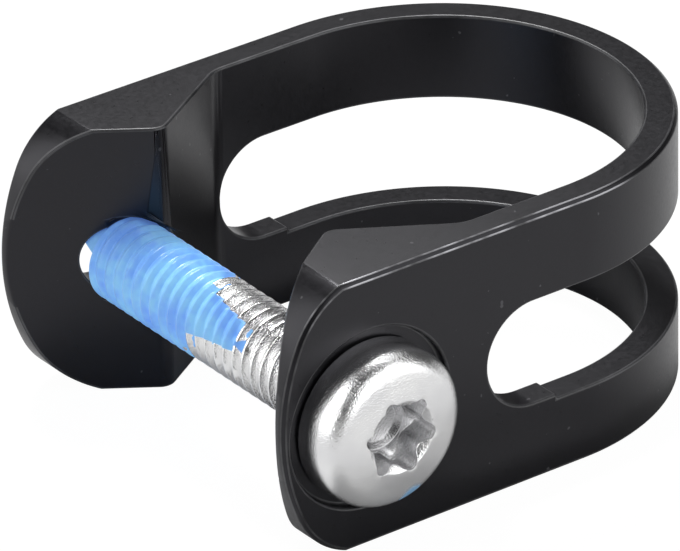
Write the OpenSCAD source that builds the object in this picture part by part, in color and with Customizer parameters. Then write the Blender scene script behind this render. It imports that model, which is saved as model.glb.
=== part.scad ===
// Brake lever clamp for a 22.2 mm handlebar, with its M5 pinch bolt.
//
// The clamp is one machined piece: a band bent round the bar like a U, slotted all the
// way round, whose two ends grow into wedge-shaped ears. The bolt passes freely through
// the near ear and screws into the far one. Z is the bar's axis, the clamp stands on one
// edge of its band at z = 0, the band closes on the +X side and the ears reach to -X.
// The near ear, under the bolt's head, is on the -Y side.

/* [Bar] */
// Diameter of the bar that the band closes on
bar_d = 22.2; // [21.6:0.1:23.0]

/* [Band] */
// Wall of the band
band_wall = 1.8; // [1.5:0.1:2.4]
// Height of the clamp along the bar
clamp_h = 15.8; // [15.0:0.2:18.0]
// Bevel that breaks the long edges
edge_break = 0.22; // [0.10:0.02:0.30]

/* [Slot] */
// Height of the slot round the band
slot_h = 6.35; // [5.0:0.05:7.0]
// How far the slot's middle lies below the clamp's mid height
slot_drop = 0.32; // [0:0.02:0.6]
// How far the slot's rounded ends run past the foot of the ears' ramps
slot_run_on = 0.4; // [0:0.05:1.0]
// Step in the slot's lower edge, where its rounded end was cut a little higher
slot_step = 0.25; // [0.10:0.05:0.40]
// Distance of that step from the bar's axis
slot_step_x = 1.95; // [1.5:0.05:2.6]

/* [Ears] */
// Distance of the ears' tips from the bar's axis
ear_reach = 19.85; // [19.0:0.1:22.0]
// Opening between the crests of the two ears, their narrowest place
crest_gap = 14.9; // [13.8:0.1:16.6]
// How far the crests lie from the bolt's axis, towards the bar
crest_lead = 1.6; // [1.2:0.05:2.2]
// Radius that rounds each crest
crest_r = 0.9; // [0.5:0.1:1.3]
// Angle of the ramp between the band and the crest
ramp_angle = 32; // [28:1:36]
// Thickness of an ear at the end of its tip
tip_wall = 0.7; // [0.5:0.05:1.4]
// Radius of the hollow corner where the ramp leaves the band
ramp_fillet_r = 2.0; // [1.0:0.1:2.6]
// Radius of the ears' tips between their corners, seen from the side
tip_arc_r = 12.6; // [11.5:0.1:14.0]
// Radius of the two corners of an ear's tip, seen from its side
ear_corner_r = 5.05; // [4.4:0.05:5.8]
// How far each corner's circle would run past the long edge that cuts it off
corner_overrun = 0.3; // [0.1:0.05:0.6]

/* [Bolt] */
// Outer diameter of the bolt's thread
thread_d = 4.85; // [4.7:0.05:5.0]
// Length of the bolt under its head
bolt_l = 21.4; // [20.6:0.1:24.0]
// Bevel at the bolt's tip
tip_bevel = 0.3; // [0.2:0.05:0.8]
// Distance between the ridges of the thread
thread_pitch = 0.8; // [0.7:0.05:1.0]
// Height of the thread's ridges
thread_depth = 0.44; // [0.30:0.02:0.50]
// Length of the neck between the head and the thread
neck_l = 1.3; // [1.0:0.1:2.0]
// Diameter of the head
head_d = 8.9; // [8.4:0.1:9.5]
// Height of the head
head_h = 3.3; // [2.8:0.1:3.8]
// Height of the upright stretch of the head's side
head_side_h = 1.3; // [0.8:0.1:1.6]
// Radius between the head's side and its crown
head_round_r = 1.4; // [1.0:0.1:1.7]
// Rise of the crown over the head's middle
crown_rise = 0.35; // [0.2:0.05:0.6]
// Width of the six-lobed driver recess across opposite lobes
recess_d = 4.45; // [4.2:0.05:4.6]
// Depth of the driver recess along its walls
recess_depth = 2.0; // [1.4:0.1:2.2]
// Turn of the recess about the bolt's axis
recess_turn = 9; // [0:1:60]

/* [Bolt axis] */
// Distance of the bolt's axis from the ears' tips, half way between the ears
bolt_to_tip = 5.5; // [5.3:0.02:6.0]
// How far the bolt's axis lies below the clamp's mid height, half way between the ears
bolt_drop = 0.15; // [0:0.05:0.6]
// Lean of the bolt towards the band at its head
bolt_lean = 0.7; // [0:0.1:1.5]
// Droop of the bolt at its head
bolt_droop = 1.1; // [0:0.1:1.5]

/* [Holes] */
// Diameter of the clearance hole in the near ear
clearance_d = 5.5; // [5.3:0.1:6.0]
// Diameter of the spot-face under the head
spotface_d = 10.3; // [9.9:0.1:10.8]
// Depth of the spot-face at its middle
spotface_depth = 0.5; // [0.3:0.05:0.8]
// Core diameter of the tapped hole, past the bolt's tip
core_d = 4.3; // [4.1:0.05:4.6]
// Play between the thread and the tapped hole, on the radius
thread_play = 0.1; // [0.08:0.01:0.15]
// Play between the head and the face that it bears on
head_play = 0.02; // [0.01:0.01:0.05]

/* [Threadlocker] */
// Length of the coated stretch of thread
patch_l = 9.6; // [6:0.2:12]
// Thickness of the coating over the thread's crests
patch_t = 0.04; // [0.02:0.01:0.06]

/* [Hidden] */
$fn = 96;

bore_r = bar_d / 2;
outer_r = bore_r + band_wall;
thread_r = thread_d / 2;
head_r = head_d / 2;
tapped_r = thread_r + patch_t + thread_play;
past = 1;                        // how far a cutter runs past the face that it leaves
far_past = 30;                   // length of a cutter that runs out of the whole clamp

// Places in the clamp's plan, seen along the bar
bolt_x = ear_reach - bolt_to_tip;
bolt_z = clamp_h / 2 - bolt_drop;
crest_y = crest_gap / 2;
crest_c = [crest_lead - bolt_x, crest_y + crest_r];
tip_c = [tip_arc_r - ear_reach, clamp_h / 2];
corner_rise = clamp_h / 2 + corner_overrun - ear_corner_r;
corner_x = tip_c.x - sqrt(pow(tip_arc_r - ear_corner_r, 2) - corner_rise * corner_rise);
mouth_x = -ear_reach - 3 * past;
bore_start_x = bore_r / 5;       // the opening overlaps the bore up to here

// The inner face runs from the crest's arc to the tip
tip_p = [-ear_reach, outer_r - tip_wall];
to_tip = tip_p - crest_c;
inner_face_angle = atan2(to_tip.y, -to_tip.x) + asin(crest_r / norm(to_tip));

// The ramp touches the crest's arc and ends in a hollow corner that touches the flank
ramp_p = crest_c + crest_r * [sin(ramp_angle), -cos(ramp_angle)];
foot_c = [ramp_p.x + (bore_r - ramp_fillet_r * (1 - cos(ramp_angle)) - ramp_p.y) / tan(ramp_angle)
    + ramp_fillet_r * sin(ramp_angle), bore_r - ramp_fillet_r];
slot_end_x = foot_c.x - slot_run_on;

black = "#222225";
steel = "#c9cacd";
blue = "#6db4f0";

// Point of a line through p at the angle a, where its x is given
function on_line(p, a, x) = [x, p.y + (x - p.x) * tan(a)];

// Arc of points about c from angle a0 to a1
function arc(c, r, a0, a1, steps) = [for (i = [0:steps]) let (a = a0 + (a1 - a0) * i / steps)
    c + r * [cos(a), sin(a)]];

// Upper half of the opening's outline, widened all round by w: from the bar's side, along
// the band's flank, round the hollow corner, down the ramp, over the crest and out past
// the tip. The crest's arc touches the ramp and the inner face, the corner's arc touches
// the flank and the ramp.
function opening_half(w) = let (
    r_crest = crest_r - w,
    face_p = crest_c - r_crest * [sin(inner_face_angle), cos(inner_face_angle)]
) concat(
    [[bore_start_x, bore_r - past], [0, bore_r + w]],
    arc(foot_c, ramp_fillet_r + w, 90, 90 + ramp_angle, 6),
    arc(crest_c, r_crest, -90 + ramp_angle, -90 - inner_face_angle, 8),
    [on_line(face_p, -inner_face_angle, mouth_x)]
);

function mirrored(points) = [for (i = [len(points) - 1:-1:0]) [points[i].x, -points[i].y]];
function opening(w) = concat(opening_half(w), mirrored(opening_half(w)));

// Prism through layers of one outline: each layer is [z, outline], all of equal length
module layered(layers) {
    n = len(layers[0][1]);
    polyhedron(
        points = [for (l = layers) for (p = l[1]) [p.x, p.y, l[0]]],
        faces = concat(
            [[for (i = [0:n - 1]) i]],
            [for (k = [0:len(layers) - 2]) for (i = [0:n - 1])
                [k * n + i, (k + 1) * n + i, (k + 1) * n + (i + 1) % n, k * n + (i + 1) % n]],
            [[for (i = [n - 1:-1:0]) (len(layers) - 1) * n + i]]));
}

// Round bar along Z with a bevel at both ends
module bevelled_bar(r, h, bevel) {
    cylinder(h = bevel, r1 = r - bevel, r2 = r);
    translate([0, 0, bevel]) cylinder(h = h - 2 * bevel, r = r);
    translate([0, 0, h - bevel]) cylinder(h = bevel, r1 = r, r2 = r - bevel);
}

// Puts what is drawn along +Z onto the bolt's axis, running from the head to the tip
module on_bolt_axis() {
    translate([-bolt_x, 0, bolt_z])
        rotate([-90 + bolt_droop, 0, bolt_lean])
            children();
}

// Distance along the bolt's axis of the face under its head
seat = -outer_r + spotface_depth;

// Solid outside of the clamp: the half ring and the block that the flanks come from
module outer_body() {
    bevelled_bar(outer_r, clamp_h, edge_break);
    side = outer_r;
    b = edge_break;
    rotate([90, 0, -90])
        linear_extrude(ear_reach + past)
            polygon([[-side + b, 0], [side - b, 0], [side, b], [side, clamp_h - b],
                [side - b, clamp_h], [-side + b, clamp_h], [-side, clamp_h - b], [-side, b]]);
}

// Side view of the ears as a solid across both of them: a shallow arc between two round
// corners that it touches, bevelled where it meets the ears' outer faces
module ear_envelope() {
    for (s = [-1, 1])
        translate([corner_x, outer_r, tip_c.y + s * corner_rise])
            rotate([90, 0, 0])
                bevelled_bar(ear_corner_r, 2 * outer_r, edge_break);
    intersection() {
        translate([tip_c.x, outer_r, tip_c.y])
            rotate([90, 0, 0])
                bevelled_bar(tip_arc_r, 2 * outer_r, edge_break);
        translate([tip_c.x, outer_r + past, tip_c.y])
            rotate([90, 0, 0])
                linear_extrude(2 * (outer_r + past))
                    polygon([[0, 0], for (s = [1, -1]) 3 * [corner_x - tip_c.x, s * corner_rise]]);
    }
    translate([corner_x, -outer_r - past, -past])
        cube([outer_r - corner_x + past, 2 * (outer_r + past), clamp_h + 2 * past]);
}

// Room for the bar: its bore, flared at both edges
module bar_bore() {
    translate([0, 0, -past]) cylinder(h = clamp_h + 2 * past, r = bore_r);
    cylinder(h = edge_break, r1 = bore_r + edge_break, r2 = bore_r);
    translate([0, 0, clamp_h - edge_break])
        cylinder(h = edge_break, r1 = bore_r, r2 = bore_r + edge_break);
}

// Room between the flanks and the ears, flared at both edges
module ear_opening() {
    layered([[-past, opening(edge_break)], [0, opening(edge_break)],
        [edge_break, opening(0)], [clamp_h - edge_break, opening(0)],
        [clamp_h, opening(edge_break)], [clamp_h + past, opening(edge_break)]]);
}

// Slot through both sides of the band and round its closed end. The rounded end was cut
// in its own pass, a little above the rest of the lower edge.
module band_slot() {
    top = clamp_h / 2 - slot_drop + slot_h / 2;
    floor_z = top - slot_h;
    end_h = slot_h - slot_step;
    rotate([90, 0, 0])
        translate([0, 0, -outer_r - past])
            linear_extrude(2 * (outer_r + past)) {
                translate([slot_end_x + end_h / 2, top - end_h / 2]) circle(d = end_h);
                translate([slot_end_x + end_h / 2, top - end_h]) square([far_past, end_h]);
                translate([-slot_step_x, floor_z]) square([far_past, slot_h]);
            }
}

// Holes on the bolt's axis: the spot-face and the clearance hole in the near ear, and
// the tapped hole right through the far ear. Past the bolt's tip, the tapped hole has
// its core diameter; round the tip it is wider, so that the bolt turns freely.
module bolt_holes() {
    on_bolt_axis() {
        translate([0, 0, seat - spotface_depth - past])
            cylinder(h = spotface_depth + past, d = spotface_d);
        translate([0, 0, seat - past]) cylinder(h = outer_r, d = clearance_d);
        cylinder(h = seat - head_play + bolt_l + thread_play, r = tapped_r);
        cylinder(h = outer_r + past, d = core_d);
    }
}

module clamp_band() {
    color(black)
        difference() {
            intersection() {
                outer_body();
                ear_envelope();
            }
            bar_bore();
            ear_opening();
            band_slot();
            bolt_holes();
        }
}

// Half section of the head: foot, upright side, rounded shoulder and shallow crown
function head_section() = let (
    shoulder_z = head_h - crown_rise - head_round_r,
    shoulder_r = head_r - head_round_r,
    crown_r = (shoulder_r * shoulder_r + crown_rise * crown_rise) / (2 * crown_rise),
    crown_a = asin(shoulder_r / crown_r)
) concat(
    [[0, 0], [head_r, 0], [head_r, min(head_side_h, shoulder_z)]],
    arc([shoulder_r, shoulder_z], head_round_r, 0, 90, 8),
    arc([0, head_h - crown_r], crown_r, 90 - crown_a, 90, 6)
);

// Six-lobed recess along Z: round lobes joined by hollow flanks, with a pointed floor
module driver_recess() {
    lobe_r = recess_d * 0.095;
    lobe_c = recess_d / 2 - lobe_r;
    flank_r = recess_d * 0.19;
    flank_c = recess_d * 0.36 + flank_r;
    rotate([0, 0, recess_turn]) {
        linear_extrude(recess_depth + head_h) {
            difference() {
                circle(r = lobe_c);
                for (i = [0:5]) rotate(60 * i + 30) translate([flank_c, 0]) circle(r = flank_r);
            }
            for (i = [0:5]) rotate(60 * i) translate([lobe_c, 0]) circle(r = lobe_r);
        }
        translate([0, 0, -recess_d * 0.18]) cylinder(h = recess_d * 0.18, r1 = 0, r2 = recess_d * 0.36);
    }
}

// The thread as a row of ridges, each with a flat crest, and flat roots between them
thread_end = bolt_l - tip_bevel;
ridges = floor((thread_end - neck_l) / thread_pitch);
root_r = thread_r - thread_depth;
function ridge_start(i) = thread_end - (ridges - i) * thread_pitch;

// Half section of the neck, the thread and the bevelled tip, under the head
function shank_section() = concat(
    [[0, 0], [root_r, 0]],
    [for (i = [0:ridges - 1]) let (z = ridge_start(i), p = thread_pitch)
        each [[root_r, z], [thread_r, z + 0.35 * p], [thread_r, z + 0.5 * p],
            if (i < ridges - 1) [root_r, z + 0.85 * p]]],
    [[thread_r, thread_end], [thread_r - tip_bevel, bolt_l], [0, bolt_l]]
);

module clamp_bolt() {
    color(steel)
        on_bolt_axis()
            translate([0, 0, seat - head_play]) {
                mirror([0, 0, 1])
                    difference() {
                        rotate_extrude() polygon(head_section());
                        translate([0, 0, head_h - recess_depth]) driver_recess();
                    }
                rotate_extrude() polygon(shank_section());
            }
}

// Dry threadlocker that fills the thread next to the tip: it starts on a ridge's crest
// and ends where the tip's bevel begins
module threadlocker_patch() {
    first = max(0, ridges - 1 - round(patch_l / thread_pitch));
    start = ridge_start(first) + 0.42 * thread_pitch;
    color(blue)
        on_bolt_axis()
            translate([0, 0, seat - head_play])
                difference() {
                    translate([0, 0, start])
                        cylinder(h = thread_end - start, r = thread_r + patch_t);
                    rotate_extrude() polygon(shank_section());
                }
}

clamp_band();
clamp_bolt();
threadlocker_patch();
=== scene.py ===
# %% [markdown]
# # A brake lever clamp, from bare solids to a finished picture
# The CAD model gives the clamp's exact sizes and says which solid moves with which body.
# This lesson dresses it in Blender: a new band with softened edges, a bolt with a real
# thread, a dry coating of threadlocker, and a finish for each of them.
# The first step loads the CAD model.

# %% Load the frame
import math
import bpy
from mathutils import Euler, Matrix, Vector, noise


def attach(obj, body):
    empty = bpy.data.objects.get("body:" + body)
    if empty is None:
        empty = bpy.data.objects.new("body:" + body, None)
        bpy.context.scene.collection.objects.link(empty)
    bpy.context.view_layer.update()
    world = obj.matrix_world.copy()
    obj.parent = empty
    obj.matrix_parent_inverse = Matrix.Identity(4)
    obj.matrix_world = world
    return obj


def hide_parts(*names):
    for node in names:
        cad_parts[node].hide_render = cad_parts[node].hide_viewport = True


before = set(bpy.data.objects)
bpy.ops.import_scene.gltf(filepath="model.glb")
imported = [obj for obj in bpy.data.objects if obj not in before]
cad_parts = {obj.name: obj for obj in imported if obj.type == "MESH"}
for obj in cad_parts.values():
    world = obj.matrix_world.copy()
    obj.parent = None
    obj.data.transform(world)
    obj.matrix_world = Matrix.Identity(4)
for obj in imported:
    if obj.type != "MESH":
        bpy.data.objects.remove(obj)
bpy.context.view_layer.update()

# %% [markdown]
# ## The camera
# The photograph was taken from far away with a long lens, so parallel edges stay almost
# parallel. The camera could be placed by eye, but the clamp's outline in the photo says
# where it stood: its bearing, its height angle, its slight roll and its distance.
# The lens is given for a sensor 36 mm wide.

# %% Camera
BEARING = math.radians(35.968)
HEIGHT_ANGLE = math.radians(28.331)
ROLL = math.radians(-1.210)
AIM = Vector((-5.036, 2.178, 6.455)) / 1000
CAMERA_DISTANCE = 0.47155


def camera_axes():
    look = Vector((math.sin(BEARING) * math.cos(HEIGHT_ANGLE),
                   math.cos(BEARING) * math.cos(HEIGHT_ANGLE),
                   -math.sin(HEIGHT_ANGLE)))
    level = look.cross(Vector((0, 0, 1))).normalized()
    upright = level.cross(look)
    across = level * math.cos(ROLL) + upright * math.sin(ROLL)
    up = upright * math.cos(ROLL) - level * math.sin(ROLL)
    return across, up, look


across, up, look = camera_axes()
camera = bpy.data.objects.new("camera", bpy.data.cameras.new("camera"))
bpy.context.scene.collection.objects.link(camera)
camera.data.lens = 463.76
camera.data.sensor_width = 36
camera.data.clip_start = 0.01
camera.data.clip_end = 10
turn = Matrix((across, up, -look)).transposed().to_4x4()
camera.matrix_world = Matrix.Translation(AIM - look * CAMERA_DISTANCE) @ turn
bpy.context.scene.camera = camera
print("camera stands at", [round(v, 3) for v in camera.matrix_world.translation])

# %% [markdown]
# ## Sizes
# These are the machinist's sizes in millimetres, the same as in the CAD source. The
# pieces are modelled in millimetres too, because Blender's cutting tools work best on
# sizes near one, and they are shrunk to metres when they are finished.

# %% Sizes of the clamp, in millimetres
BORE_R = 11.1
OUTER_R = 12.9
HEIGHT = 15.8
EAR_REACH = 19.85
CREST = (-12.75, 8.35)
CREST_R = 0.9
RAMP_ANGLE = 32
TIP_WALL = 0.7
HOLLOW = (-6.09, 9.1)
HOLLOW_R = 2.0
TIP_ARC_R = 12.6
CORNER_R = 5.05
CORNER_RISE = 3.15
SLOT_TOP = 10.755
SLOT_FLOOR = 4.405
SLOT_STEP = 0.25
SLOT_STEP_X = -1.95
SLOT_END_X = -6.49

# %% Sizes of the bolt, in millimetres
BOLT_PLACE = Vector((-14.35, 0, 7.75))
BOLT_TURN = Euler((math.radians(-88.9), 0, math.radians(0.7)))
SEAT = -12.4
BOLT_TIP = 8.98
THREAD_R = 2.425
ROOT_R = 1.98
PITCH = 0.8
HEAD_R = 4.5
HEAD_H = 3.3
CLEARANCE_R = 2.75
SPOTFACE_R = 5.15
TAPPED_R = 2.56
CORE_R = 2.12

# %% [markdown]
# ## Helpers for the bench
# Blender's operators act on whatever is selected, so every step starts by selecting one
# piece alone. Cutting is done as on a milling machine: a cutter is made, it takes its
# shape out of the piece, and it is thrown away.

# %% Select one piece alone
def alone(piece):
    if bpy.context.object and bpy.context.object.mode != "OBJECT":
        bpy.ops.object.mode_set(mode="OBJECT")
    bpy.ops.object.select_all(action="DESELECT")
    piece.select_set(True)
    bpy.context.view_layer.objects.active = piece


# %% Apply a modifier at once
def finish_modifier(piece, modifier):
    alone(piece)
    bpy.ops.object.modifier_apply(modifier=modifier.name)


def carve(piece, cutter, operation="DIFFERENCE"):
    cut = piece.modifiers.new("cut", "BOOLEAN")
    cut.solver = "EXACT"
    cut.operation = operation
    cut.object = cutter
    finish_modifier(piece, cut)
    bpy.data.objects.remove(cutter)


# %% Outline pulled up into a plate
def arc(centre, radius, start, end, steps):
    points = []
    for i in range(steps + 1):
        a = math.radians(start + (end - start) * i / steps)
        points.append((centre[0] + radius * math.cos(a), centre[1] + radius * math.sin(a)))
    return points


def plate(name, outline, low, high):
    bpy.ops.object.select_all(action="DESELECT")
    bpy.ops.mesh.primitive_circle_add(vertices=len(outline), radius=1, fill_type="NGON")
    piece = bpy.context.object
    piece.name = name
    for vertex, point in zip(piece.data.vertices, outline):
        vertex.co = (point[0], point[1], low)
    bpy.ops.object.mode_set(mode="EDIT")
    bpy.ops.mesh.select_all(action="SELECT")
    bpy.ops.mesh.extrude_region_move(TRANSFORM_OT_translate={"value": (0, 0, high - low)})
    bpy.ops.mesh.select_all(action="SELECT")
    bpy.ops.mesh.normals_make_consistent(inside=False)
    bpy.ops.object.mode_set(mode="OBJECT")
    return piece


# %% Put a piece in its place for good
def settle(piece, place=(0, 0, 0), turned=(0, 0, 0)):
    piece.location = place
    piece.rotation_euler = turned
    alone(piece)
    bpy.ops.object.transform_apply(location=True, rotation=True, scale=True)
    return piece


def side_plate(name, outline, depth):
    piece = plate(name, outline, -depth, depth)
    return settle(piece, turned=(math.radians(90), 0, 0))


def rod(name, radius, low, high, sides=96):
    bpy.ops.object.select_all(action="DESELECT")
    bpy.ops.mesh.primitive_cylinder_add(vertices=sides, radius=radius, depth=high - low,
                                        location=(0, 0, (high + low) / 2))
    piece = bpy.context.object
    piece.name = name
    return settle(piece, piece.location)


# %% [markdown]
# ## The band's blank
# The real clamp is milled from a bar of aluminium: its outside first, then the room for
# the handlebar and the lever, then the slot. It could be bent from a strip and thickened,
# but the wedge-shaped ears have no even thickness, so milling it is simpler here too.
# Seen along the handlebar, the outside is a half round with two straight flanks.
# Seen from its side, each ear ends in a shallow arc between two round corners.

# %% Band: outside
beyond = -EAR_REACH - 1
outside = arc((0, 0), OUTER_R, -90, 90, 144) + [(beyond, OUTER_R), (beyond, -OUTER_R)]
band = plate("machined_band", outside, 0, HEIGHT)

middle = HEIGHT / 2
tip_centre = TIP_ARC_R - EAR_REACH
corner_x = tip_centre - math.sqrt((TIP_ARC_R - CORNER_R) ** 2 - CORNER_RISE ** 2)
touch = math.degrees(math.asin(CORNER_RISE / (TIP_ARC_R - CORNER_R)))
profile = arc((corner_x, middle + CORNER_RISE), CORNER_R, 90, 180 - touch, 30)
profile += arc((tip_centre, middle), TIP_ARC_R, 180 - touch, 180 + touch, 40)[1:-1]
profile += arc((corner_x, middle - CORNER_RISE), CORNER_R, 180 + touch, 270, 30)
profile += [(20, middle - CORNER_RISE - CORNER_R), (20, middle + CORNER_RISE + CORNER_R)]
carve(band, side_plate("ear_profile", profile, 20), "INTERSECT")
print("blank:", len(band.data.vertices), "points")

# %% [markdown]
# ## Room for the bar and the lever
# One cutter takes out everything between the flanks. From the bar's side, its outline
# follows the bore, the straight flank, a hollow corner, the ramp, the rounded crest and
# the inner face of the ear, which slants out to a thin tip. Each arc touches the lines
# on both its sides, as a milling cutter leaves it.

# %% Band: opening
def inner_slant():
    to_tip = Vector((-EAR_REACH - CREST[0], OUTER_R - TIP_WALL - CREST[1]))
    return math.degrees(math.atan2(to_tip.y, -to_tip.x) + math.asin(CREST_R / to_tip.length))


slant = inner_slant()
crest_arc = arc(CREST, CREST_R, -90 + RAMP_ANGLE, -90 - slant, 20)
leaving = crest_arc[-1]
mouth_x = -EAR_REACH - 3
mouth = (mouth_x, leaving[1] + (leaving[0] - mouth_x) * math.tan(math.radians(slant)))
half = arc(HOLLOW, HOLLOW_R, 90, 90 + RAMP_ANGLE, 14) + crest_arc + [mouth]
opening = arc((0, 0), BORE_R, -90, 90, 144) + half + [(x, -y) for x, y in reversed(half)]
carve(band, plate("opening", opening, -1, HEIGHT + 1))
print("inner face slants by", round(slant, 2), "degrees")

# %% [markdown]
# ## The slot
# A slot runs through both flanks and round the closed end, so that the band can flex. Its
# ends are round, as wide as the end mill. The last pass at each end was set a little
# higher, which leaves a small step in the lower edge.

# %% Band: slot
end_r = (SLOT_TOP - SLOT_FLOOR - SLOT_STEP) / 2
slot_line = arc((SLOT_END_X + end_r, SLOT_TOP - end_r), end_r, 90, 270, 40)
slot_line += [(SLOT_STEP_X, SLOT_FLOOR + SLOT_STEP), (SLOT_STEP_X, SLOT_FLOOR)]
slot_line += [(30, SLOT_FLOOR), (30, SLOT_TOP)]
carve(band, side_plate("slot", slot_line, 20))

# %% [markdown]
# ## Turning and winding
# Round shapes are drawn as a chain of points and turned round the Z axis, as on a lathe.
# If the chain also rises as it turns, it makes a thread. The Screw modifier does both.

# %% Clean a mesh, with its faces outwards
def volume(mesh):
    # a closed mesh whose normals point outwards has a positive volume
    total = 0.0
    for polygon in mesh.polygons:
        total += polygon.center.dot(polygon.normal) * polygon.area / 3
    return total


def tidy_mesh(piece, merge=0.0005):
    alone(piece)
    bpy.ops.object.mode_set(mode="EDIT")
    bpy.ops.mesh.select_all(action="SELECT")
    bpy.ops.mesh.remove_doubles(threshold=merge)
    bpy.ops.mesh.normals_make_consistent(inside=False)
    bpy.ops.object.mode_set(mode="OBJECT")
    if volume(piece.data) < 0:
        bpy.ops.object.mode_set(mode="EDIT")
        bpy.ops.mesh.select_all(action="SELECT")
        bpy.ops.mesh.flip_normals()
        bpy.ops.object.mode_set(mode="OBJECT")


# %% Chain of points, one extrusion after another
def chain(name, points):
    bpy.ops.object.select_all(action="DESELECT")
    bpy.ops.mesh.primitive_plane_add(size=1)
    piece = bpy.context.object
    piece.name = name
    bpy.ops.object.mode_set(mode="EDIT")
    bpy.ops.mesh.select_all(action="SELECT")
    bpy.ops.mesh.merge(type="CENTER")
    bpy.ops.mesh.select_all(action="SELECT")
    bpy.ops.transform.translate(value=(points[0][0], 0, points[0][1]))
    for before, after in zip(points, points[1:]):
        step = (after[0] - before[0], 0, after[1] - before[1])
        bpy.ops.mesh.extrude_vertices_move(TRANSFORM_OT_translate={"value": step})
    bpy.ops.object.mode_set(mode="OBJECT")
    return piece


# %% Wind a chain round the Z axis
def wind(piece, steps, rise=0.0, turns=1):
    screw = piece.modifiers.new("wind", "SCREW")
    screw.steps = steps
    screw.render_steps = steps
    screw.screw_offset = rise
    screw.iterations = turns
    screw.use_merge_vertices = True
    screw.merge_threshold = 0.0002
    finish_modifier(piece, screw)
    return piece


# %% Cut a wound thread square at both ends
def square_end(piece, height, outward):
    alone(piece)
    bpy.ops.object.mode_set(mode="EDIT")
    bpy.ops.mesh.select_all(action="SELECT")
    bpy.ops.mesh.bisect(plane_co=(0, 0, height), plane_no=(0, 0, outward),
                        clear_outer=True, use_fill=True)
    bpy.ops.object.mode_set(mode="OBJECT")


def threaded_rod(name, crest, root, low, high, steps=72):
    ridge = [(crest - 0.02, -0.075), (crest, -0.04), (crest, 0.04), (crest - 0.02, 0.075),
             (root + 0.065, 0.275), (root + 0.015, 0.325), (root, 0.4), (root + 0.015, 0.475),
             (root + 0.065, 0.525), (crest - 0.02, PITCH - 0.075)]
    turns = math.ceil((high - low) / PITCH) + 3
    start = low - 1.5 * PITCH
    piece = wind(chain(name, [(r, z + start) for r, z in ridge]), steps, PITCH, turns)
    square_end(piece, low, -1)
    square_end(piece, high, 1)
    tidy_mesh(piece, 0.0002)
    return piece


# %% Turn a chain of points into a round piece
def turned(name, points, steps=128):
    piece = wind(chain(name, points), steps)
    tidy_mesh(piece, 0.0002)
    return piece


# %% [markdown]
# ## Holes
# The near ear has a clearance hole with a spot-face, a shallow round pocket that gives
# the bolt's head a square seat. The far ear is tapped right through; here its hole is
# drilled plain, without the thread, and the hole's outer end is countersunk, so that the
# thread starts without a burr.
# Round the bolt's tip it is a little wider, so that the tip turns without touching it.
# All are drilled on the bolt's own axis, which leans by about a degree.

# %% Band: holes
def drill(radius, low, high):
    carve(band, settle(rod("drill", radius, low, high), BOLT_PLACE, BOLT_TURN))


drill(SPOTFACE_R, SEAT - 3, SEAT)
drill(CLEARANCE_R, SEAT - 1, 0)
drill(TAPPED_R, 0, BOLT_TIP + 0.1)
drill(CORE_R, 0, 16)
countersink = turned("countersink", [(0, 11.6), (1.9, 11.6), (3.35, 13.4), (0, 13.4)])
carve(band, settle(countersink, BOLT_PLACE, BOLT_TURN))
print("band after milling:", len(band.data.vertices), "points")

# %% [markdown]
# A flat face with a hole in it can't be one polygon, so the cutting leaves long slanting
# edges across the flats. A bevel would follow them and go wrong. Two flat cuts through
# the bolt's axis give every hole four short edges that meet it squarely, and then the
# slanting ones can be dissolved.

# %% Band: clean flats
FLAT = math.radians(0.1)


def split_across_bolt(piece):
    turn = BOLT_TURN.to_matrix()
    alone(piece)
    bpy.ops.object.mode_set(mode="EDIT")
    for way in (Vector((1, 0, 0)), Vector((0, 1, 0))):
        bpy.ops.mesh.select_all(action="SELECT")
        bpy.ops.mesh.bisect(plane_co=BOLT_PLACE, plane_no=turn @ way)
    bpy.ops.object.mode_set(mode="OBJECT")


def from_bolt(point):
    # where a point is, seen in the bolt's own frame
    return BOLT_TURN.to_matrix().transposed() @ (point - BOLT_PLACE)


def on_split(point):
    return [abs(value) < 0.002 for value in from_bolt(point).xy]


def edge_angles(mesh):
    # each edge that joins two faces, with the angle between them
    normals_of = {}
    for polygon in mesh.polygons:
        for key in polygon.edge_keys:
            normals_of.setdefault(key, []).append(polygon.normal.copy())
    for edge in mesh.edges:
        normals = normals_of.get(edge.key, [])
        if len(normals) == 2:
            yield edge, normals[0].angle(normals[1], 0)


def dissolve_flat_edges(piece):
    alone(piece)
    bpy.ops.object.mode_set(mode="EDIT")
    bpy.ops.mesh.select_mode(type="EDGE")
    bpy.ops.mesh.select_all(action="DESELECT")
    bpy.ops.object.mode_set(mode="OBJECT")
    mesh = piece.data
    count = 0
    for edge, angle in edge_angles(mesh):
        ends = [on_split(mesh.vertices[i].co) for i in edge.vertices]
        kept = any(a and b for a, b in zip(*ends))
        if angle < FLAT and not kept:
            edge.select = True
            count += 1
    bpy.ops.object.mode_set(mode="EDIT")
    bpy.ops.mesh.dissolve_edges(use_verts=False)
    bpy.ops.mesh.select_mode(type="VERT")
    bpy.ops.object.mode_set(mode="OBJECT")
    return count


split_across_bolt(band)
print("slanting edges dissolved:", dissolve_flat_edges(band))

# %% [markdown]
# ## Softened edges
# A sharp edge never catches light, and a real one always does. The long edges carry a
# cut bevel with a narrow flat, which shows in the photo as two thin bright lines side by
# side. So every sharp edge first gets a flat bevel, wide on the outside and narrow in
# the slot and the holes, and a second small round softens the bevel's own edges.

# %% Band: bevels
SHARP = math.radians(28)
FLAT_BEVEL = 0.22
ROUND_BEVEL = 0.055


def edge_share(edge, mesh):
    level = (mesh.vertices[edge.vertices[0]].co + mesh.vertices[edge.vertices[1]].co) / 2
    outermost = math.hypot(max(level.x, 0), level.y) > OUTER_R - 0.03
    on_rim = min(level.z, HEIGHT - level.z) < 0.01
    on_tip = level.x < corner_x and from_bolt(level).xy.length > SPOTFACE_R + 0.15
    return 1.0 if outermost and (on_rim or on_tip) else 0.4


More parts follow.
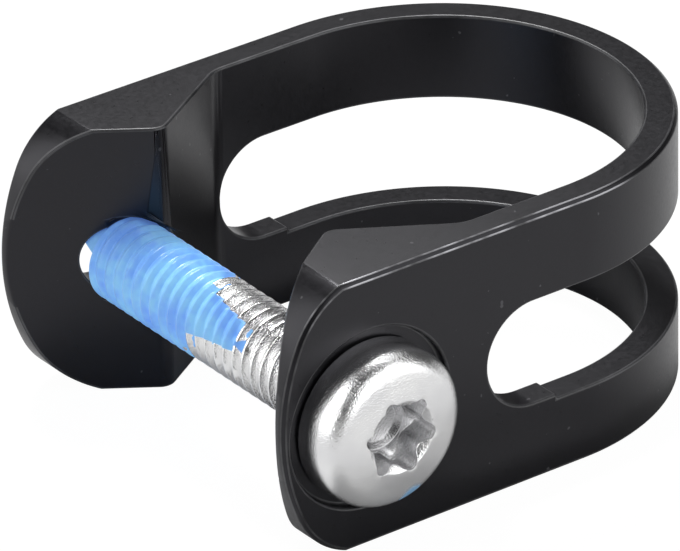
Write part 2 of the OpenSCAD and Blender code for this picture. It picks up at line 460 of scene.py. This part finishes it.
def bevel(piece, width, segments, weighted, slot=-1):
    edges = piece.modifiers.new("bevel", "BEVEL")
    edges.width = width
    edges.segments = segments
    edges.material = slot
    edges.limit_method = "WEIGHT" if weighted else "ANGLE"
    edges.angle_limit = SHARP
    edges.use_clamp_overlap = False
    edges.loop_slide = False
    edges.miter_outer = "MITER_SHARP"
    finish_modifier(piece, edges)


def weigh_edges(piece):
    mesh = piece.data
    sharp = [edge for edge, angle in edge_angles(mesh) if angle > SHARP]
    shares = [(edge.index, edge_share(edge, mesh)) for edge in sharp]
    weights = mesh.attributes.new("bevel_weight_edge", "FLOAT", "EDGE")
    for index, share in shares:
        weights.data[index].value = share
    return len(shares)


tidy_mesh(band, 0.012)
print("sharp edges:", weigh_edges(band))
bevel(band, FLAT_BEVEL, 1, True)
# the rounds of the second bevel get the second finish: worn edges, with a painted highlight along the
# near ear's top outer edge
for slot_name in ("black anodised", "worn edge and painted highlight"):
    band.data.materials.append(bpy.data.materials.new(slot_name))
bevel(band, ROUND_BEVEL, 3, False, 1)
tidy_mesh(band)
print("band with soft edges:", len(band.data.vertices), "points")

# %% [markdown]
# ## The bolt's thread
# An M5 thread rises 0.8 mm in each turn. A stack of rings would look like it from afar,
# but a real thread is one ridge that winds round, and its start and run-out show.
# So one ridge is wound up, from the tip to just under the head.

# %% Bolt: thread
bolt = threaded_rod("clamp_screw", THREAD_R, ROOT_R, SEAT + 1.2, BOLT_TIP)
print("thread:", len(bolt.data.vertices), "points")

# %% [markdown]
# ## Tip, neck and head
# The tip's bevel is turned on a lathe after the thread is rolled, so the ridge fades out
# over it. Here a turned blank is kept where it meets the thread. The head and its neck
# are one turned shape: an upright side, a round shoulder and a shallow crown.

# %% Turned blank
blank_r = THREAD_R + 0.3
tip_blank = turned("tip_blank", [(0, SEAT), (blank_r, SEAT), (blank_r, BOLT_TIP - 0.58),
                                 (THREAD_R - 0.28, BOLT_TIP), (0, BOLT_TIP)], 72)
carve(bolt, tip_blank, "INTERSECT")
print("bolt after its tip is turned:", len(bolt.data.vertices), "points")

# %% Head, measured outward from its seat
SHOULDER_R = 1.38
CROWN_RISE = 0.3


def head_line():
    top = SEAT - HEAD_H
    inner = HEAD_R - SHOULDER_R
    crown_r = (inner * inner + CROWN_RISE * CROWN_RISE) / (2 * CROWN_RISE)
    half_angle = math.degrees(math.asin(inner / crown_r))
    crown = arc((0, top + crown_r), crown_r, -90, -90 + half_angle, 10)
    crown[0] = (0, top)
    shoulder = arc((inner, top + CROWN_RISE + SHOULDER_R), SHOULDER_R, -72, 0, 16)
    foot = [(HEAD_R, SEAT - 0.25), (HEAD_R - 0.06, SEAT - 0.09), (HEAD_R - 0.2, SEAT)]
    neck = [(2.5, SEAT), (2.33, SEAT + 0.12), (2.27, SEAT + 0.3), (2.27, SEAT + 1.1),
            (ROOT_R, SEAT + 1.35), (0, SEAT + 1.35)]
    return crown + shoulder + foot + neck


head = turned("head_blank", head_line())
print("head blank:", len(head.data.vertices), "points")

# %% [markdown]
# ## Driver recess
# A six-lobed socket is pressed into the head: round lobes joined by flanks that bulge
# inwards, a lead-in cone round its mouth, and a hollow floor. Its outline starts as a
# circle whose points are drawn in towards the flanks.

# %% Six-lobed recess
RECESS_R = 2.28
RECESS_DEPTH = 2.0
RECESS_TURN = 10.5


def lobe_radius(angle):
    # 1 at the middle of a lobe, 0 at the middle of a flank
    wave = 0.5 + 0.5 * math.cos(6 * angle)
    return RECESS_R * (0.73 + 0.27 * wave ** 1.25)


def recess_cutter():
    line = []
    for i in range(180):
        a = 2 * math.pi * i / 180
        line.append((lobe_radius(a) * math.cos(a), lobe_radius(a) * math.sin(a)))
    top = SEAT - HEAD_H
    cutter = plate("recess", line, top - 1, top + RECESS_DEPTH)
    turn_by = (0, 0, math.radians(RECESS_TURN))
    return settle(cutter, turned=turn_by)


carve(head, recess_cutter())
head_top = SEAT - HEAD_H
lead_in = turned("lead_in", [(0, head_top - 0.5), (2.85, head_top - 0.5), (1.62, head_top + 0.5),
                             (0, head_top + 0.5)])
carve(head, lead_in)
floor_cone = turned("floor_cone", [(0, head_top + 1.9), (1.55, head_top + 1.9),
                                   (1.2, head_top + 2.35), (0, head_top + 2.7)])
carve(head, floor_cone)
bevel(head, 0.05, 2, False)
carve(bolt, head, "UNION")
tidy_mesh(bolt, 0.0002)
settle(bolt, BOLT_PLACE, BOLT_TURN)
print("whole bolt:", len(bolt.data.vertices), "points")

# %% [markdown]
# ## Threadlocker
# The dry blue coating half fills the grooves next to the tip, and its border is ragged:
# it ends sooner on the crests than in the grooves. Painting it on as a colour would lose
# that, so it is a sleeve of its own with a shallower thread. Towards its border it sinks
# below the steel, first under the crests, and the bare metal shows through. A dried drop
# of it hangs past the bolt's tip and fills the upper side of the tapped hole.

# %% Coating: shallow thread
COAT_R = THREAD_R + 0.035
COAT_RIDGE = 0.2
COAT_END = BOLT_TIP - 0.02
DROP_LENGTH = 1.0
DROP_R = 2.06
coat = threaded_rod("threadlocker_coat", COAT_R, COAT_R - COAT_RIDGE, -4.8, BOLT_TIP + DROP_LENGTH, 96)
beyond_drop = BOLT_TIP + DROP_LENGTH + 0.1
coat_blank = turned("coat_blank", [(0, -5.4), (3, -5.4), (3, BOLT_TIP - 0.7),
                                   (THREAD_R - 0.22, COAT_END), (DROP_R, BOLT_TIP + 0.05),
                                   (DROP_R, beyond_drop), (0, beyond_drop)], 96)
carve(coat, coat_blank, "INTERSECT")


# %% Coating: ragged border
# pairs of a direction round the bolt, in degrees, and the border's place along it, in mm
BORDER = [(-180, 0.1), (-173, -1.4), (-166, -3.3), (-152, -4.0), (-122, -3.8), (-115, -1.6),
          (-106, -0.1), (-74, 0.6), (0, 0.9), (80, -0.2), (146, 0.2), (180, 0.1)]


def border_at(angle):
    a = math.degrees(angle)
    reach = BORDER[0][1]
    for (a0, s0), (a1, s1) in zip(BORDER, BORDER[1:]):
        if a0 <= a <= a1:
            reach = s0 + (s1 - s0) * (a - a0) / (a1 - a0)
    rough = 0.4 * noise.noise(Vector((4 * math.cos(angle), 4 * math.sin(angle), 0.3)))
    return reach + rough


def drop_at(angle):
    # a dried drop hangs past the bolt's tip on its upper side, facing the ear's tip
    a = math.degrees(angle)
    return max(0.0, min(1.0, (a + 160) / 10, (-75 - a) / 15)) * DROP_LENGTH


for vertex in coat.data.vertices:
    x, y, z = vertex.co
    angle = math.atan2(y, x)
    if z > COAT_END:
        z = min(z, COAT_END + drop_at(angle))
    r = math.hypot(x, y)
    if r > 0.01:
        patchy = 0.5 * noise.noise(Vector((x * 2.1, y * 2.1, z * 1.3)))
        inside = z - border_at(angle) + patchy
        sink = max(0.0, min(0.6, 0.4 * (0.3 - inside)))
        lumps = 0.02 * noise.noise(Vector((x * 2.4, y * 2.4, z * 2.4)))
        scale = (r - sink + min(0.0, lumps)) / r
        vertex.co = (x * scale, y * scale, z)
settle(coat, BOLT_PLACE, BOLT_TURN)
print("coating:", len(coat.data.vertices), "points")

# %% [markdown]
# ## Real size, and who moves with whom
# The pieces shrink from millimetres to metres in their own meshes. The band rides on the
# clamp's body, and the bolt and its coating ride on the bolt's, so that they turn
# together. Each piece stands in for one CAD solid.

# %% Shrink, smooth and hand over
def hand_over(piece, body, node):
    alone(piece)
    bpy.ops.object.mode_set(mode="EDIT")
    bpy.ops.mesh.select_all(action="SELECT")
    bpy.ops.transform.resize(value=(0.001, 0.001, 0.001), center_override=(0, 0, 0))
    bpy.ops.object.mode_set(mode="OBJECT")
    bpy.ops.object.shade_smooth_by_angle(angle=math.radians(30))
    flat = piece.modifiers.new("flat faces stay flat", "WEIGHTED_NORMAL")
    flat.keep_sharp = True
    finish_modifier(piece, flat)
    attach(piece, body)
    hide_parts(node)
    triangles = sum(len(p.vertices) - 2 for p in piece.data.polygons)
    print(piece.name, "has", triangles, "triangles")


hand_over(band, "clamp", "clamp_band")
hand_over(bolt, "bolt", "clamp_bolt")
hand_over(coat, "bolt", "threadlocker_patch")

# %% [markdown]
# ## Finishes written as sums
# A finish is a small network of nodes. Linking them one by one is slow to read, so a
# wire between nodes is wrapped in a class that understands plus, minus and times.
# An expression such as `1 - mask` then adds its own Math node.

# %% Wires and finishes
class Wire:
    def __init__(self, finish, socket):
        self.finish = finish
        self.socket = socket

    def maths(self, operation, *inputs):
        values = dict(enumerate(inputs))
        return self.finish.node("ShaderNodeMath", {"operation": operation}, values)

    def __add__(self, other):
        return self.maths("ADD", self, other)

    def __radd__(self, other):
        return self.maths("ADD", other, self)

    def __sub__(self, other):
        return self.maths("SUBTRACT", self, other)

    def __rsub__(self, other):
        return self.maths("SUBTRACT", other, self)

    def __mul__(self, other):
        return self.maths("MULTIPLY", self, other)

    def __rmul__(self, other):
        return self.maths("MULTIPLY", other, self)


# %% One method for every other node
class Finish:
    def __init__(self, name, owner=None):
        self.material = owner or bpy.data.materials.get(name) or bpy.data.materials.new(name)
        self.material.use_nodes = True
        self.tree = self.material.node_tree
        self.tree.nodes.clear()

    def node(self, kind, settings=None, inputs=None, output=0):
        made = self.tree.nodes.new(kind)
        for setting, value in (settings or {}).items():
            setattr(made, setting, value)
        for socket, value in (inputs or {}).items():
            if isinstance(value, Wire):
                self.tree.links.new(value.socket, made.inputs[socket])
            else:
                made.inputs[socket].default_value = value
        return Wire(self, made.outputs[output])

    def place(self):
        return self.node("ShaderNodeTexCoord", output="Object")

    def axes(self, vector):
        split = self.node("ShaderNodeSeparateXYZ", inputs={0: vector})
        return [Wire(self, split.socket.node.outputs[i]) for i in range(3)]

    def distance(self, place, point):
        return self.node("ShaderNodeVectorMath", {"operation": "DISTANCE"}, {0: place, 1: point}, 1)

    def grain(self, scale, detail=2.0, roughness=0.5):
        # a random pattern from 0 to 1; a scale of 1000 has one patch to a millimetre
        inputs = {"Vector": self.place(), "Scale": scale, "Detail": detail, "Roughness": roughness}
        return self.node("ShaderNodeTexNoise", inputs=inputs)

    def fade(self, value, low, high):
        # 0 at low, 1 at high, and smooth in between
        inputs = {"Value": value, "From Min": low, "From Max": high}
        return self.node("ShaderNodeMapRange", {"interpolation_type": "SMOOTHSTEP"}, inputs)

    def blend(self, share, first, second):
        return self.node("ShaderNodeMix", {"data_type": "RGBA"}, {0: share, 6: first, 7: second}, 2)

    def shade(self, **sockets):
        names = {key.replace("_", " "): value for key, value in sockets.items()}
        return self.close(self.node("ShaderNodeBsdfPrincipled", inputs=names))

    def close(self, surface, kind="ShaderNodeOutputMaterial"):
        end = self.tree.nodes.new(kind)
        self.tree.links.new(surface.socket, end.inputs["Surface"])
        return self.material


# %% [markdown]
# ## Black anodised aluminium
# The band is blasted with fine beads, dyed black and sealed. The dye leaves a dark,
# slightly bluish surface with a satin sheen. The blasting shows as a fine grain in the
# reflections, so it goes into the bump and the roughness, hardly into the colour.

# %% Finish: black anodised
def anodised():
    f = Finish("black anodised")
    beads = f.grain(9000, 2, 0.6)
    mottle = f.grain(4200, 2, 0.6)
    clouds = f.grain(260, 3, 0.55)
    specks = f.fade(f.grain(1900, 1, 0.4), 0.775, 0.80)
    dye = f.blend(f.fade(mottle, 0.3, 0.7), (0.0012, 0.0011, 0.0017, 1), (0.0026, 0.0024, 0.0034, 1))
    colour = f.blend(specks * 0.5, dye, (0.16, 0.16, 0.17, 1))
    satin = 0.22 + 0.14 * mottle + 0.04 * clouds
    height = beads + 0.8 * mottle
    bump = f.node("ShaderNodeBump", inputs={"Strength": 0.12, "Distance": 0.00002, "Height": height})
    return f.shade(Base_Color=colour, Roughness=satin, Normal=bump, Specular_IOR_Level=0.5,
                   Specular_Tint=(0.93, 0.92, 1.0, 1))


# %% Finish: worn edge, with a painted highlight
def worn_edge_and_highlight():
    f = Finish("worn edge and painted highlight")
    x, y, z = f.axes(f.place())
    # painted highlight: the rounds along the near ear's top outer edge are made bright, standing in for
    # the light they catch
    painted_edge_highlight = f.fade(0 - y, 0.0123, 0.0127) * f.fade(z, 0.0135, 0.0145)
    wear_and_highlight = f.fade(f.grain(420, 3, 0.6), 0.25, 0.60) * (0.22 + 0.78 * painted_edge_highlight)
    # the grey is partly bare metal at real worn spots and partly a painted highlight
    colour = f.blend(wear_and_highlight, (0.012, 0.012, 0.014, 1), (0.34, 0.34, 0.36, 1))
    return f.shade(Base_Color=colour, Metallic=0.9 * wear_and_highlight, Roughness=0.34)


anodised()
worn_edge_and_highlight()

# %% [markdown]
# ## Stainless steel
# The bolt is cold-headed and tumbled, so it is bright but not mirror-like, with a fine
# random texture that breaks up the edges of its reflections. The driver recess is painted
# dark towards its floor, a painted shade. A smear of threadlocker is left on the rim of the head.

# %% Finish: stainless
HEAD_CENTRE = (-0.01417, 0, 0.00746)
SMEAR = (-0.0132, -0.0149, 0.0034)


def stainless():
    f = Finish("tumbled stainless")
    place = f.place()
    dents = f.grain(9500, 2, 0.6)
    clouds = f.grain(500, 2, 0.5)
    metal = f.blend(f.fade(clouds, 0.3, 0.7), (0.89, 0.89, 0.90, 1), (0.97, 0.97, 0.97, 1))
    flattened = f.node("ShaderNodeVectorMath", {"operation": "MULTIPLY"}, {0: place, 1: (1, 0, 1)})
    from_axis = f.distance(flattened, HEAD_CENTRE)
    # painted shade: the colour darkens deep in the driver recess
    painted_recess_shade = f.fade(from_axis, 0.0023, 0.0015) * f.fade(f.axes(place)[1], -0.0152, -0.0142)
    metal = f.blend(painted_recess_shade * 0.7, metal, (0.20, 0.20, 0.21, 1))
    smear = f.fade(f.distance(place, SMEAR), 0.0010, 0.0006) * f.fade(clouds, 0.35, 0.5)
    metal = f.blend(smear, metal, (0.30, 0.62, 1.0, 1))
    polish = 0.13 + 0.1 * dents
    bump = f.node("ShaderNodeBump", inputs={"Strength": 0.9, "Distance": 0.00003, "Height": dents})
    return f.shade(Base_Color=metal, Metallic=1 - smear, Roughness=polish, Normal=bump)


bolt.data.materials.clear()
bolt.data.materials.append(stainless())

# %% [markdown]
# ## Dry threadlocker
# The coating is an opaque light blue with a soft gloss and cloudy patches. It is given a
# faint blue glow of its own, a painted light, so it is bluer than a plain paint could be.

# %% Finish: threadlocker
def dry_coating():
    f = Finish("dry threadlocker")
    clouds = f.grain(420, 3, 0.6)
    blue = f.blend(f.fade(clouds, 0.35, 0.65), (0.18, 0.46, 1.0, 1), (0.32, 0.76, 1.0, 1))
    ripple = f.grain(2400, 2)
    bump = f.node("ShaderNodeBump", inputs={"Strength": 0.3, "Distance": 0.00004, "Height": ripple})
    # painted light: the emission is a faint blue glow that brightens the coating
    return f.shade(Base_Color=blue, Roughness=0.22 + 0.15 * clouds, Normal=bump,
                   Emission_Color=(0.2, 0.38, 1.0, 1), Emission_Strength=0.26)


coat.data.materials.clear()
coat.data.materials.append(dry_coating())

# %% The bare CAD solids get the same finishes
for name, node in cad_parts.items():
    node.data.materials.clear()
    made = {"clamp_band": band, "clamp_bolt": bolt, "threadlocker_patch": coat}[name]
    node.data.materials.append(made.data.materials[0])

# %% [markdown]
# ## Floor, sky and lamps
# The photograph is a product shot: the clamp stands on white, under broad soft lamps,
# and its shadow is all but gone. The floor is white and plain. What the camera sees of
# it is mostly its own colour, with a faint shadow kept.

# %% Floor
def paper_white():
    f = Finish("paper white")
    paper = f.node("ShaderNodeBsdfDiffuse", inputs={"Color": (0.8, 0.8, 0.8, 1)})
    plain = f.node("ShaderNodeEmission", inputs={"Color": (1, 1, 1, 1), "Strength": 1.06})
    seen = f.node("ShaderNodeLightPath", output="Is Camera Ray")
    return f.close(f.node("ShaderNodeMixShader", inputs={0: seen * 0.92, 1: paper, 2: plain}))


bpy.ops.object.select_all(action="DESELECT")
bpy.ops.mesh.primitive_grid_add(x_subdivisions=8, y_subdivisions=8, size=6, location=(0, 0, -0.00002))
floor = bpy.context.object
floor.name = "studio_floor"
floor.data.materials.append(paper_white())

# %% [markdown]
# The room round the clamp is what its glossy faces mirror. The camera sees it as white.
# In reflections there is one white panel on the left and a larger one on the right, and
# the camera stands in the dark gap between them. That gap draws the dark speckled line
# round the head of the bolt. A direction is given by its bearing, in degrees from the
# bolt's head end towards the closed end of the band, and by its height above the horizon.

# %% Room
def room():
    f = Finish("studio", bpy.data.worlds.new("studio"))
    way = f.node("ShaderNodeTexCoord", output="Generated")
    x, y, z = f.axes(way)
    bearing = x.maths("ARCTAN2", x, 0 - y) * (180 / math.pi)
    height = z.maths("ARCSINE", z) * (180 / math.pi)

    def between(value, low, high, soft):
        # 1 between low and high, with soft borders
        above = f.fade(value, low - soft, low + soft)
        return above * (1 - f.fade(value, high - soft, high + soft))

    def panel(left, right, low, high, soft, light):
        return between(bearing, left, right, soft) * between(height, low, high, soft) * light

    mirrored = 0.10 + panel(-152, -64, -60, 62, 8, 2.2) + panel(-16, 60, -60, 50, 8, 2.3)
    mirrored = mirrored + panel(62, 150, 50, 84, 8, 1.6) + panel(60, 112, -60, -2, 6, 1.0)
    seen = f.node("ShaderNodeLightPath", output="Is Camera Ray")
    glossy = f.node("ShaderNodeLightPath", output="Is Glossy Ray")
    other = glossy * mirrored + (1 - glossy) * 0.5
    strength = seen + (1 - seen) * other
    return f.close(f.node("ShaderNodeBackground", inputs={"Strength": strength}), "ShaderNodeOutputWorld")


bpy.context.scene.world = room()


# %% Lamps
def softbox(name, way, distance, size, radiance):
    data = bpy.data.lights.new(name, "AREA")
    data.shape = "RECTANGLE"
    data.size, data.size_y = size
    data.energy = radiance * math.pi * size[0] * size[1]
    lamp = bpy.data.objects.new(name, data)
    bpy.context.scene.collection.objects.link(lamp)
    lamp.location = Vector(way).normalized() * distance
    lamp.rotation_euler = (-lamp.location).to_track_quat("-Z", "Y").to_euler()
    lamp.visible_camera = False
    return lamp


softbox("main_softbox", (0.19, 0.462, 0.866), 0.40, (0.12, 0.12), 26.0)
softbox("near_softbox", (0.335, 0.58, 0.743), 0.12, (0.03, 0.03), 2.2)

bpy.context.scene.view_settings.view_transform = "Standard"
